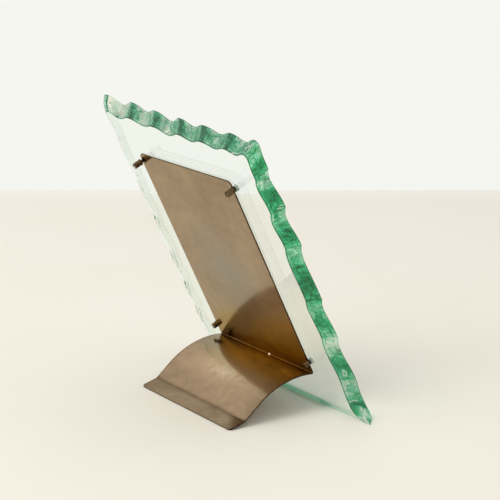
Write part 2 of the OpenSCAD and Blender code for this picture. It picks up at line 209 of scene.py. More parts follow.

# Tone of the edge: 0 where it is nearly clear, 0.6 where it is deep green. The top pales to the left and is
# clear at its tip; the right side has deep and pale stretches. Painted shade darkens the ridges between
# scoops and one end of each scoop, and painted light pales the hollow of each scoop
leftness = ((slab_x + 80) / 185).clip(0, 1)
clear_end = 1 / (1 + np.exp(-(slab_x - 74) / 2.5))
ridge = np.minimum(scoop_place, 1 - scoop_place)
# Painted shade at and beside each ridge and painted light in each hollow, on the top and the right side alike
top_tone = 0.5 - 0.3 * leftness + 0.4 * bell(scoop_place, 0.1, 0.1) - 0.18 * bell(scoop_place, 0.5, 0.2)
top_tone = top_tone * (1 - 0.95 * clear_end) + 0.25 * bell(ridge, 0, 0.02)
right_tone = 0.46 + 0.26 * bell(scoop_place, 0.7, 0.2) - 0.14 * bell(scoop_place, 0.22, 0.17)
right_tone = right_tone + 0.1 * bell(slab_z, 132, 22) - 0.26 * bell(slab_z, 70, 16)
right_tone = right_tone - 0.14 * bell(slab_z, 33, 14) + 0.22 * bell(ridge, 0, 0.012)
tone = np.where(side == ON_TOP, top_tone, np.where(side == ON_RIGHT, right_tone, 0.05 + 0 * slab_x))
# The arrises are dark with a pale line beside them: painted shade along each arris and a painted highlight
# beside it
tone = tone + (0.45 * bell(from_arris, 0, 0.5) - 0.12 * bell(from_arris, 1.4, 0.6)) * (side != ON_LEFT)
# On the right side: a dark line along a ridge, painted shade; a round flake with a dark rim; and a pale
# almond below, a painted highlight inside the white cuts round it
dark_line = nearness(slab_z, across, [(148, 11, 146.6, 7.5, 0.6), (146.6, 7.5, 144.5, 3, 0.6)])
from_lens = np.hypot(slab_z - 130, across - 4.8)
almond = bell(np.hypot((slab_z - 42) / 3, (across - 6.6) / 1.6), 0, 0.9)
lens = 0.3 * bell(from_lens, 2.6, 0.5) - 0.22 * bell(from_lens, 0, 1.7) - 0.16 * almond
tone = tone + (0.5 * dark_line + lens) * (side == ON_RIGHT)
# Veins run where two flakes meet, and each flake has its own shade
vein = bell(gap, 0, 0.08) * (0.3 + 0.7 * (small_shade > -0.1)) + 0.12 * bell(small_gap, 0, 0.12)
broken = 0.34 * vein + 0.1 * shade + 0.02 * small_shade
tone = tone - 0.05 + broken * (side != ON_LEFT) * (1 - 0.7 * clear_end * (side == ON_TOP))
# The clear tip has two dark rims and a spot; the foot of the right side has a clear window
step_number = np.arange(ring)
tip_rims = 1.2 * bell(step_number, left_steps + 3, 6) + 0.95 * bell(step_number, left_steps + 19, 1.6)
tip_spot = bell(np.hypot((slab_x - 79) / 2.2, (across - 12) / 1.6), 0, 1)
tone = tone + (tip_rims + 0.6 * tip_spot) * (side == ON_TOP)
window = bell(np.hypot((slab_z - 4.5) / 4.5, (across - 5.5) / 3.4), 0, 0.95) * (side == ON_RIGHT)
tone = (tone - 0.6 * window).clip(0, 1)

slab_x, slab_z = slab_x - mark * step_z / length, slab_z + mark * step_x / length
slab_points = leaned(slab_x, slab_z, -(THICKNESS - layer_depths)[:, None]).reshape(-1, 3)
side_quads = ring_faces(rows, ring)

# The four holes end in a drill's cone. The drill has starred the glass round the bottom of each: short
# cracks of uneven length. A level is its radius, 1 where it is starred, and how far out it lies
HOLE_STEPS = 48
levels = np.array([
    (HOLE_RADIUS, 0, 0), (HOLE_RADIUS, 0, 1.6 - HOLE_DEPTH), (HOLE_RADIUS, 1, -HOLE_DEPTH),
    (0.9, 0, -HOLE_DEPTH - 0.8), (0.02, 0, -HOLE_DEPTH - HOLE_CONE)])
turns = np.linspace(0, 2 * np.pi, HOLE_STEPS, endpoint=False)
step_number = np.arange(HOLE_STEPS)
star = np.where(step_number % 6 == 1, 1.2 + 0.5 * np.cos(2.3 * step_number), 0)
reach = levels[:, :1] + levels[:, 1:2] * star
hole_points = [leaned(x + reach * np.cos(turns), v + reach * np.sin(turns), levels[:, 2:]).reshape(-1, 3)
               for x, v in SCREWS]
first_hole, hole_size = len(slab_points), len(levels) * HOLE_STEPS
hole_faces = []
for start in range(first_hole, first_hole + len(SCREWS) * hole_size, hole_size):
    hole_faces += ring_faces(len(levels), HOLE_STEPS, start)
    hole_faces.append(list(range(start + hole_size - HOLE_STEPS, start + hole_size))[::-1])


def tessellated(*loops):
    """Triangles that fill the first loop of points in a plane, less the loops inside it."""
    flat = [np.stack([x, y, 0 * x], -1).tolist() for x, y in loops]
    return np.array(geometry.tessellate_polygon(flat))


def facing(triangles, points, outward):
    """The triangles, with those turned round that face against the outward direction."""
    a, b, c = (points[triangles[:, corner]] for corner in range(3))
    inward = np.cross(b - a, c - a) @ outward <= 0
    return np.where(inward[:, None], triangles[:, ::-1], triangles).tolist()


# Both faces are flat. The rear one has the mouths of the four holes, and its lowest strip, up to the
# thirteenth step of the outline, is ground dull like the edge below it
STRIP_STEPS = 13
last_ring = (rows - 1) * ring
rear_columns = np.arange(STRIP_STEPS, ring - STRIP_STEPS)
low_columns = np.r_[ring - 1 - STRIP_STEPS:ring, 0:STRIP_STEPS + 1]
front_tris = tessellated((slab_x[0], slab_z[0]))
rear_tris = tessellated((slab_x[-1, rear_columns], slab_z[-1, rear_columns]), *[
    (x + HOLE_RADIUS * np.cos(turns), v + HOLE_RADIUS * np.sin(turns)) for x, v in SCREWS])
low_tris = low_columns[tessellated((slab_x[-1, low_columns], slab_z[-1, low_columns]))]
# The rear face's corners are counted along its outline first, then round each hole
hole, turn = np.divmod(rear_tris - len(rear_columns), HOLE_STEPS)
rear_tris = np.where(hole < 0, last_ring + STRIP_STEPS + rear_tris, first_hole + hole * hole_size + turn)

all_points = np.concatenate([slab_points] + hole_points)
rear_normal = np.array([0, math.cos(LEAN), -math.sin(LEAN)])
front_faces = facing(front_tris, all_points, -rear_normal)
rear_faces = facing(rear_tris, all_points, rear_normal)
low_faces = facing(last_ring + low_tris, all_points, rear_normal)

# The surfaces, in the order of the piece's materials. The clear left side ends a little before the upper
# corner, and the top's glass half way round the other
POLISHED, SIDE_EDGE, GROUND, CLEAR_EDGE, DRILLED, TOP_EDGE = range(6)
column = np.arange(len(side_quads)) % ring
on_floor = column == ring - 1
edge_slots = np.select(
    [on_floor, column < left_steps - 8, column < left_steps + top_steps + 1.5 * CORNER_STEPS],
    [GROUND, CLEAR_EDGE, TOP_EDGE], SIDE_EDGE)
flat_slots = [POLISHED] * (len(front_faces) + len(rear_faces)) + [GROUND] * len(low_faces)


def new_object(name, points, faces, smooth=None, slots=None):
    """Mesh object from points in metres and faces, with smooth flags and material numbers per face."""
    mesh = bpy.data.meshes.new(name)
    mesh.from_pydata(np.asarray(points).reshape(-1, 3).tolist(), [], faces)
    if smooth is not None:
        mesh.polygons.foreach_set("use_smooth", np.asarray(smooth, dtype=bool))
    if slots is not None:
        mesh.polygons.foreach_set("material_index", np.asarray(slots, dtype=np.int32))
    mesh.validate()
    mesh.update()
    piece = bpy.data.objects.new(name, mesh)
    bpy.context.scene.collection.objects.link(piece)
    return piece


def store(piece, name, kind, values):
    """Write one value or vector per point to a named attribute of the piece's mesh."""
    layer = piece.data.attributes.new(name, kind, "POINT")
    field = "value" if kind == "FLOAT" else "vector"
    layer.data.foreach_set(field, np.asarray(values, dtype=np.float32).ravel())


crystal = new_object(
    "crystal_slab", all_points, side_quads + hole_faces + front_faces + rear_faces + low_faces,
    smooth=np.concatenate([~on_floor, [True] * len(hole_faces), [False] * len(flat_slots)]),
    slots=np.concatenate([edge_slots, [DRILLED] * len(hole_faces), flat_slots]))
# What the chiselled glass reads: the tone, with its painted shade and light, the cuts where white glints are
# painted, and the place along and across the edge
in_holes = len(all_points) - len(slab_points)
walk_points = np.stack([run, across, 0 * run], axis=-1).reshape(-1, 3) * MM
store(crystal, "tone", "FLOAT", np.concatenate([tone.ravel(), np.full(in_holes, 0.5)]))
store(crystal, "cut", "FLOAT", np.concatenate([near.ravel(), np.zeros(in_holes)]))
store(crystal, "walk", "FLOAT_VECTOR", np.concatenate([walk_points, np.zeros((in_holes, 3))]))


def linear(code):
    """An sRGB hex colour as linear RGBA."""
    parts = [int(code[i:i + 2], 16) / 255 for i in (1, 3, 5)]
    return tuple(p / 12.92 if p <= 0.04045 else ((p + 0.055) / 1.055) ** 2.4 for p in parts) + (1,)


def patches(width):
    """Scale of a noise whose patches are about this many mm wide."""
    return 1 / (width * MM)


def new_material(name):
    """An empty material and its node tree."""
    material = bpy.data.materials.new(name)
    material.use_nodes = True
    material.node_tree.nodes.clear()
    return material, material.node_tree


def add(tree, kind, inputs=None, stops=(), **settings):
    """A new node. Inputs are its sockets by name, with values or other sockets; settings are its own fields;
    stops are a colour ramp's places and hex colours."""
    node = tree.nodes.new(kind)
    for name, value in settings.items():
        setattr(node, name, value)
    for name, value in (inputs or {}).items():
        if isinstance(value, bpy.types.NodeSocket):
            tree.links.new(value, node.inputs[name])
        else:
            node.inputs[name].default_value = value
    if stops:
        elements = node.color_ramp.elements
        while len(elements) < len(stops):
            elements.new(0.5)
        for element, (place, code) in zip(elements, stops):
            element.position, element.color = place, linear(code)
    return node


# Lead crystal: water clear on its polished faces, faintly green through its depth. Seen through an
# edge, light has come the whole way through the slab, so the chiselled edges are emerald
GLASS_IOR = 1.52


def finish_glass(tree, glass, shade):
    """Glass that lets the lamps through to what is behind it, with the slab's faint green depth."""
    lamps = add(tree, "ShaderNodeBsdfTransparent", {"Color": linear(shade)}).outputs["BSDF"]
    from_lamp = add(tree, "ShaderNodeLightPath").outputs["Is Shadow Ray"]
    surface = add(tree, "ShaderNodeMixShader", {0: from_lamp, 1: glass.outputs["BSDF"], 2: lamps})
    depth = add(tree, "ShaderNodeVolumeAbsorption", {"Color": linear("#7CE7BF"), "Density": 2.5})
    add(tree, "ShaderNodeOutputMaterial", {
        "Surface": surface.outputs["Shader"], "Volume": depth.outputs["Volume"]})


# Polished faces: bright and clear, with a slow wave left from the casting
polished, tree = new_material("crystal_polished_face")
place = add(tree, "ShaderNodeTexCoord").outputs["Object"]
wave = add(tree, "ShaderNodeTexNoise", {"Vector": place, "Scale": patches(45.5), "Detail": 1.0})
relief = add(tree, "ShaderNodeBump", {"Strength": 0.02, "Distance": 0.001, "Height": wave.outputs["Fac"]})
glass = add(tree, "ShaderNodeBsdfPrincipled", {
    "Base Color": linear("#FCFFFD"), "Roughness": 0.0, "IOR": GLASS_IOR, "Specular IOR Level": 0.12,
    "Transmission Weight": 1.0, "Normal": relief.outputs["Normal"]})
finish_glass(tree, glass, "#F4F8F2")


def chiselled_glass(name, stops):
    """Glass looked into through its chiselled edge: blotches, dark veins and white painted glints along the
    cuts, over the tone.
    """
    material, tree = new_material(name)
    walk_at = add(tree, "ShaderNodeAttribute", attribute_name="walk").outputs["Vector"]
    tone_at = add(tree, "ShaderNodeAttribute", attribute_name="tone").outputs["Fac"]
    cut_at = add(tree, "ShaderNodeAttribute", attribute_name="cut").outputs["Fac"]
    blotch = add(tree, "ShaderNodeTexNoise", {
        "Vector": walk_at, "Scale": patches(4.348), "Detail": 2.0, "Roughness": 0.5,
        "Distortion": 0.6}).outputs["Fac"]
    swirl = add(tree, "ShaderNodeTexNoise", {
        "Vector": walk_at, "Scale": patches(6.667), "Detail": 1.5, "Roughness": 0.5,
        "Distortion": 2.6}).outputs["Fac"]
    off_line = add(tree, "ShaderNodeMath", {0: swirl, 1: 0.5}, operation="SUBTRACT").outputs[0]
    off_line = add(tree, "ShaderNodeMath", {0: off_line}, operation="ABSOLUTE").outputs[0]
    vein = add(tree, "ShaderNodeMapRange", {
        "Value": off_line, "From Min": 0.0, "From Max": 0.022, "To Min": 0.6,
        "To Max": 0.0}).outputs["Result"]
    vein = add(tree, "ShaderNodeMath", {0: vein, 1: tone_at}, operation="MULTIPLY").outputs[0]
    depth = add(tree, "ShaderNodeMath", {0: blotch, 1: 0.5, 2: tone_at}, operation="MULTIPLY_ADD").outputs[0]
    depth = add(tree, "ShaderNodeMath", {0: depth, 1: 0.25}, operation="SUBTRACT").outputs[0]
    depth = add(tree, "ShaderNodeMath", {0: depth, 1: vein}, operation="ADD").outputs[0]
    green = add(tree, "ShaderNodeValToRGB", {"Fac": depth}, stops=stops).outputs["Color"]
    # A painted glint: white along the middle of each cut
    white_cut = add(tree, "ShaderNodeMapRange", {
        "Value": cut_at, "From Min": 0.05, "From Max": 0.55}).outputs["Result"]
    tint = add(tree, "ShaderNodeMix", {
        0: white_cut, 6: green, 7: linear("#F6FFF8")}, data_type="RGBA").outputs[2]
    relief = add(tree, "ShaderNodeBump", {"Strength": 0.35, "Distance": 0.0006, "Height": blotch})
    glass = add(tree, "ShaderNodeBsdfPrincipled", {
        "Base Color": tint, "Roughness": 0.03, "IOR": GLASS_IOR, "Specular IOR Level": 0.3,
        "Transmission Weight": 0.62, "Normal": relief.outputs["Normal"]})
    finish_glass(tree, glass, "#CFEBDA")
    return material


# The right side is emerald; the top, nearer the light, is greyer and paler
side_edge = chiselled_glass("crystal_chiselled_edge", [
    (0.0, "#F6F7EC"), (0.13, "#D2EDDC"), (0.3, "#8CDBB2"), (0.48, "#30C07F"), (0.7, "#00904C"),
    (1.0, "#04462A")])
top_edge = chiselled_glass("crystal_chiselled_top", [
    (0.0, "#F7F6EC"), (0.13, "#D2E8DA"), (0.3, "#82CBA8"), (0.48, "#4BAC85"), (0.7, "#14794E"),
    (1.0, "#0E362B")])

# The left side lies away from the light, and all but vanishes: clear, with its scoops only lines
clear_edge, tree = new_material("crystal_clear_edge")
place = add(tree, "ShaderNodeTexCoord").outputs["Object"]
ripple = add(tree, "ShaderNodeTexNoise", {"Vector": place, "Scale": patches(3.333), "Detail": 1.0})
relief = add(tree, "ShaderNodeBump", {"Strength": 0.2, "Distance": 0.0005, "Height": ripple.outputs["Fac"]})
glass = add(tree, "ShaderNodeBsdfPrincipled", {
    "Base Color": linear("#FAFFFB"), "Roughness": 0.02, "IOR": GLASS_IOR, "Specular IOR Level": 0.2,
    "Transmission Weight": 0.98, "Normal": relief.outputs["Normal"]})
finish_glass(tree, glass, "#F0F6EE")

# Ground surface: dull, with a fine grit that is drawn coarser than it is, at 0.56 mm. Its colour along its
# length is painted light: deep green under the stand, where it takes light only through the glass, and nearly
# white at its free end. A few millimetres up the rear face the grinding runs out into clear glass
frosted, tree = new_material("crystal_ground_surface")
place = add(tree, "ShaderNodeTexCoord").outputs["Object"]
grit = add(tree, "ShaderNodeTexNoise", {"Vector": place, "Scale": patches(0.556), "Detail": 2.0})
relief = add(tree, "ShaderNodeBump", {"Strength": 0.6, "Distance": 0.0001, "Height": grit.outputs["Fac"]})
axes = add(tree, "ShaderNodeSeparateXYZ", {"Vector": place})
share_left = add(tree, "ShaderNodeMapRange", {
    "Value": axes.outputs["X"], "From Min": -0.118, "From Max": 0.0}).outputs["Result"]
# Painted glow: green under the stand, nearly white toward the free end
painted_glow_tint = add(tree, "ShaderNodeValToRGB", {"Fac": share_left}, stops=[
    (0.0, "#F0F8EE"), (0.38, "#D2F5E2"), (0.46, "#74CDA7"), (0.51, "#4DB88F"), (0.57, "#A2F0CB"),
    (1.0, "#86E8BC")]).outputs["Color"]
polish = add(tree, "ShaderNodeMapRange", {
    "Value": axes.outputs["Z"], "From Min": 0.0034, "From Max": 0.0068}).outputs["Result"]
painted_glow_tint = add(tree, "ShaderNodeMix", {
    0: polish, 6: painted_glow_tint, 7: linear("#FCFFFD")}, data_type="RGBA").outputs[2]
sent_through = add(tree, "ShaderNodeMapRange", {"Value": polish, "To Min": 0.6, "To Max": 1.0})
dull = add(tree, "ShaderNodeMapRange", {"Value": polish, "To Min": 0.4, "To Max": 0.0})
glass = add(tree, "ShaderNodeBsdfPrincipled", {
    "Base Color": painted_glow_tint, "Roughness": dull.outputs["Result"], "IOR": GLASS_IOR,
    "Transmission Weight": sent_through.outputs["Result"], "Normal": relief.outputs["Normal"]})
finish_glass(tree, glass, "#DCEFE2")

# Drilled glass: whitened by the drill, with dark bruises a millimetre wide
drilled, tree = new_material("crystal_drilled_hole")
place = add(tree, "ShaderNodeTexCoord").outputs["Object"]
scoring = add(tree, "ShaderNodeTexNoise", {"Vector": place, "Scale": patches(0.909), "Detail": 2.0})
bruise = add(tree, "ShaderNodeValToRGB", {"Fac": scoring.outputs["Fac"]}, stops=[
    (0.42, "#243F34"), (0.62, "#C6D8CC")]).outputs["Color"]
glass = add(tree, "ShaderNodeBsdfPrincipled", {
    "Base Color": bruise, "Roughness": 0.3, "IOR": GLASS_IOR, "Transmission Weight": 0.35})
finish_glass(tree, glass, "#DCEFE2")

for material in (polished, side_edge, frosted, clear_edge, drilled, top_edge):
    crystal.data.materials.append(material)
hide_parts("crystal")
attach(crystal, "frame")


# The plugs. Four split plugs of grey zinc are pushed into the crystal's holes, and grip it when their
# screws spread them. Their metal is dull, with darker stains about a millimetre wide.
def dress(kind, material):
    """Give the material to every CAD node whose name starts with this kind of piece."""
    for name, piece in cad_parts.items():
        if name.startswith(kind):
            for slot in piece.material_slots:
                slot.material = material


zinc, tree = new_material("plug_grey_zinc")
place = add(tree, "ShaderNodeTexCoord").outputs["Object"]
stain = add(tree, "ShaderNodeTexNoise", {"Vector": place, "Scale": patches(1.25), "Detail": 3.0})
skin = add(tree, "ShaderNodeValToRGB", {"Fac": stain.outputs["Fac"]}, stops=[
    (0.35, "#28322B"), (0.65, "#6C7A70")]).outputs["Color"]
metal = add(tree, "ShaderNodeBsdfPrincipled", {"Base Color": skin, "Metallic": 1.0, "Roughness": 0.4})
add(tree, "ShaderNodeOutputMaterial", {"Surface": metal.outputs["BSDF"]})
dress("plug", zinc)

# The picture. A plain card of uncoated board, clamped between crystal and plate; its face is left bare.
# The board is matt, with a fibre of about a millimetre that shows as a faint mottle.
paper, tree = new_material("card_uncoated_board")
place = add(tree, "ShaderNodeTexCoord").outputs["Object"]
fibre = add(tree, "ShaderNodeTexNoise", {
    "Vector": place, "Scale": patches(1.111), "Detail": 4.0, "Roughness": 0.7}).outputs["Fac"]
skin = add(tree, "ShaderNodeValToRGB", {"Fac": fibre}, stops=[
    (0.3, "#F0EDE4"), (0.7, "#F8F6EF")]).outputs["Color"]
relief = add(tree, "ShaderNodeBump", {"Strength": 0.2, "Distance": 0.0001, "Height": fibre})
board = add(tree, "ShaderNodeBsdfPrincipled", {
    "Base Color": skin, "Roughness": 0.85, "Normal": relief.outputs["Normal"]})
add(tree, "ShaderNodeOutputMaterial", {"Surface": board.outputs["BSDF"]})
dress("picture", paper)

# The stand. One 1.2 mm brass sheet: back plate, sharp fold, arched foot, crease and a short lip. It was
# cut, bent over a bar and rolled by hand, and its skin has gone brown and unevenly dull with age.
SHEET, WIDTH, CARD, SLACK = 1.2, 130.0, 0.4, 0.02
PLATE_OUT = CARD + 2 * SLACK + SHEET
FOLD_HEIGHT, PLATE_TOP, FOLD_RADIUS, PLATE_CORNER = 36.6, 222.5, 0.2, 4.0
ARCH_RADIUS, ARCH_RISE, ARCH_FALL, TAIL = 72.4, math.radians(5.4), math.radians(40), 16.6
LIP_FALL, LIP_CORNER, NOTCH_RADIUS = math.radians(15), 3.0, 1.8
FOLD_STEPS, ARCH_STEPS, CREASE_STEPS = 14, 64, 7


def along(angle):
    """Unit vector at an angle in the plane of y and z: its cosine and its sine."""
    return np.array([math.cos(angle), math.sin(angle)])


fold_angle = math.pi / 2 - LEAN - ARCH_RISE
up_plate, out_plate = along(math.pi / 2 - LEAN), along(-LEAN)
fold_corner = FOLD_HEIGHT * up_plate + PLATE_OUT * out_plate
fold_middle = fold_corner + FOLD_RADIUS / math.sin(fold_angle / 2) * along(ARCH_RISE + fold_angle / 2)
fold_run = FOLD_RADIUS / math.tan(fold_angle / 2)
arch_start = fold_middle - FOLD_RADIUS * along(math.pi / 2 + ARCH_RISE)
arch_middle = arch_start - ARCH_RADIUS * along(math.pi / 2 + ARCH_RISE)
arch_end = arch_middle + ARCH_RADIUS * along(math.pi / 2 - ARCH_FALL)
crease = arch_end + TAIL * along(-ARCH_FALL)
lip_length = (crease[1] - SHEET * math.cos(LIP_FALL)) / math.sin(LIP_FALL)


def bend(middle, radius, start, stop, steps):
    """Points of an arc: a radius round its middle at even angles, and the walk a quarter turn from it."""
    angle = np.linspace(start, stop, steps)
    turned = np.sign(stop - start) * math.pi / 2
    points = middle + radius * np.stack([np.cos(angle), np.sin(angle)], 1)
    return points, np.stack([np.cos(angle + turned), np.sin(angle + turned)], 1)


def straight(start, direction, distances):
    """Points at the given distances along a straight stretch, and its direction."""
    d = np.asarray(distances)[:, None]
    return start + d * direction, np.broadcast_to(direction, (len(distances), 2))


# Stations down the plate and out along the lip, close together at the rounded corners and the notches
plate_length = PLATE_TOP - FOLD_HEIGHT - fold_run
corner_runs = PLATE_CORNER * (1 - np.cos(np.linspace(0, np.pi / 2, 14)))
notch_runs = NOTCH_RADIUS * np.sin(np.linspace(-np.pi / 2, np.pi / 2, 25))
plate_runs = np.concatenate([
    corner_runs, [5.0], PLATE_TOP - UPPER_SCREWS + notch_runs, np.linspace(12, 165, 52),
    PLATE_TOP - LOWER_SCREWS + notch_runs,
    np.linspace(PLATE_TOP - LOWER_SCREWS + 2.4, plate_length - 0.05, 6)])
lip_runs = np.concatenate([
    np.linspace(0.3, lip_length - LIP_CORNER - 0.3, 6),
    lip_length - LIP_CORNER + LIP_CORNER * np.sin(np.linspace(0, np.pi / 2, 12))])
# The arch starts a hair early, so that it and the fold share no station
stretches = [
    straight(PLATE_TOP * up_plate + (PLATE_OUT - SHEET / 2) * out_plate, -up_plate, plate_runs),
    bend(fold_middle, FOLD_RADIUS + SHEET / 2, math.pi - LEAN, 1.5 * math.pi + ARCH_RISE, FOLD_STEPS),
    bend(arch_middle, ARCH_RADIUS - SHEET / 2, math.pi / 2 + ARCH_RISE - 0.012, math.pi / 2 - ARCH_FALL,
         ARCH_STEPS),
    straight(arch_end - SHEET / 2 * along(math.pi / 2 - ARCH_FALL), along(-ARCH_FALL),
             np.linspace(0.4, TAIL - 0.1, 10)),
    bend(crease, SHEET / 2, -math.pi / 2 - ARCH_FALL, -math.pi / 2 - LIP_FALL, CREASE_STEPS),
    straight(crease - SHEET / 2 * along(math.pi / 2 - LIP_FALL), along(-LIP_FALL), lip_runs),
]
middle_line = np.concatenate([s[0] for s in stretches])
walk = np.concatenate([s[1] for s in stretches])
# Half width at each station: full, less the rounded corners and the half-round notches of the screws
half = np.full(len(middle_line), WIDTH / 2)
plate_count = len(plate_runs)
from_top = np.minimum(plate_runs, PLATE_CORNER)
half[:plate_count] -= PLATE_CORNER - np.sqrt((PLATE_CORNER ** 2 - (PLATE_CORNER - from_top) ** 2).clip(0))
for height in (UPPER_SCREWS, LOWER_SCREWS):
    from_notch = plate_runs - (PLATE_TOP - height)
    half[:plate_count] -= np.sqrt((NOTCH_RADIUS ** 2 - from_notch ** 2).clip(0))
to_end = np.minimum(lip_length - lip_runs, LIP_CORNER)
half[-len(to_end):] -= LIP_CORNER - np.sqrt((LIP_CORNER ** 2 - (LIP_CORNER - to_end) ** 2).clip(0))
# Cross-section: a strip with edges rounded in quarter circles, walked round once, as distances across and
# above the sheet's middle. Each face is a hair under the full thickness, so that the washers rest on it
# without overlapping
EDGE_ROUND, HAIR, CUT_QUADS = 0.22, 0.01, 3
quarter = np.linspace(0, np.pi / 2, 5)
flat_shares = np.sin(np.linspace(-np.pi / 2, np.pi / 2, 35))[1:-1]
round_out = EDGE_ROUND * (np.sin(quarter) - 1)
round_up = SHEET / 2 - HAIR - EDGE_ROUND + EDGE_ROUND * np.cos(quarter)
half = half[:, None]
upper = np.concatenate([-half - round_out[::-1], (half - EDGE_ROUND) * flat_shares, half + round_out], axis=1)
rise = np.concatenate([round_up[::-1], np.full(len(flat_shares), SHEET / 2 - HAIR), round_up])
loop_x = np.concatenate([upper, upper[:, ::-1]], axis=1)
loop_up = np.broadcast_to(np.concatenate([rise, -rise[::-1]]), loop_x.shape)
# The open side of the sheet at each station: out of the plate, and up from the foot
normal = np.stack([walk[:, 1], -walk[:, 0]], 1)
normal *= np.where(normal @ np.array([0.3, 1.0]) < 0, -1, 1)[:, None]
normal[:plate_count] = out_plate
sheet_y = middle_line[:, 0, None] + loop_up * normal[:, 0, None]
sheet_z = middle_line[:, 1, None] + loop_up * normal[:, 1, None]
sheet_points = np.stack([loop_x, sheet_y + REAR_EDGE_Y, sheet_z], -1) * MM
rows, ring = loop_x.shape
# Each end is cut square and shut by one face. The cut sides and ends are darker than the faces
end_faces = [list(range(ring))[::-1], list(range((rows - 1) * ring, rows * ring))]
side_faces = [quad[::-1] for quad in ring_faces(rows, ring)]
in_half = np.arange(ring) % (ring // 2)
cut_side = (in_half < CUT_QUADS) | (in_half >= ring // 2 - CUT_QUADS)
stand = new_object(
    "bent_sheet", sheet_points, side_faces + end_faces, smooth=[True] * len(side_faces) + [False] * 2,
    slots=np.concatenate([np.tile(cut_side, rows - 1), [True] * 2]))

# Three values of the skin: tone, from dark to light brown, with painted shade by the fold and in the crease
# and a painted highlight across the foot; gold, a painted reflection of foot and plate in each other beside
# the fold, golden and darker; and bloom, a grey film on the plate's middle. The side shut in against the
# glass is pale
station_gaps = np.linalg.norm(np.diff(middle_line, axis=0), axis=1)
walked = np.concatenate([[0], np.cumsum(station_gaps)])[:, None]
fold_at = walked[plate_count + FOLD_STEPS // 2, 0]
crease_at = walked[-len(lip_runs) - (CREASE_STEPS + 1) // 2, 0]
on_foot = 1 / (1 + np.exp(-(walked - fold_at) / 2))
on_lip = 1 / (1 + np.exp(-(walked - crease_at) / 0.8))
# The plate's painted reflection of the foot: golden and darker, its edge an arch like the foot's
reflection_from = fold_at - 50 * np.sqrt((1 - ((loop_x + 65) / 131) ** 2).clip(0))
plate_reflection = 1 / (1 + np.exp(-(walked - reflection_from) / 5))
plate_tone = 0.52 - 0.32 * plate_reflection + 0.1 * bell(np.hypot((loop_x + 42) / 20, (walked - 85) / 40), 0, 1)
# The foot's painted reflection of the plate beside the fold
foot_reflection = 0.05 + 0.95 * bell(walked, fold_at, 26) / (1 + np.exp((loop_x - 35) / 8))
# Painted shade on the foot by the fold
foot_tone = 0.66 - 0.32 * bell(walked, fold_at, 22)
# A painted highlight across the middle of the arch
foot_tone = foot_tone + 0.16 * bell(np.hypot((loop_x - 5) / 45, (walked - fold_at - 42) / 12), 0, 1)
foot_tone = foot_tone - 0.1 * bell(loop_x, 65, 26) - 0.16 * bell(loop_x, -65, 12) - 0.14 * bell(loop_x, 65, 2)
# Painted shade in the crease; the lip is darker, less so at its right end
foot_tone = foot_tone - 0.24 * bell(walked, crease_at, 1.6) - (0.24 - 0.12 * bell(loop_x, -52, 12)) * on_lip
skin_tone = plate_tone * (1 - on_foot) + foot_tone * on_foot
skin_tone = skin_tone - 0.16 * bell(np.abs(loop_x), 65, 0.9) - 0.14 * bell(walked, 0, 0.8)
painted_reflection = plate_reflection * (1 - on_foot) + foot_reflection * on_foot
plate_bloom = 0.95 * bell(np.hypot((loop_x - 2) / 36, (walked - 106) / 40), 0, 1)
foot_bloom = 0.5 * bell(np.hypot((loop_x - 52) / 26, (walked - fold_at - 12) / 16), 0, 1)
bloom = plate_bloom * (1 - on_foot) + foot_bloom * on_foot
shut_in = (loop_up < -0.55) * (1 - on_foot)
patina_and_painted_light = [skin_tone + (1.2 - skin_tone) * shut_in, painted_reflection * (1 - shut_in), bloom * (1 - shut_in)]
store(stand, "patina_and_painted_light", "FLOAT_VECTOR", np.stack(patina_and_painted_light, -1))


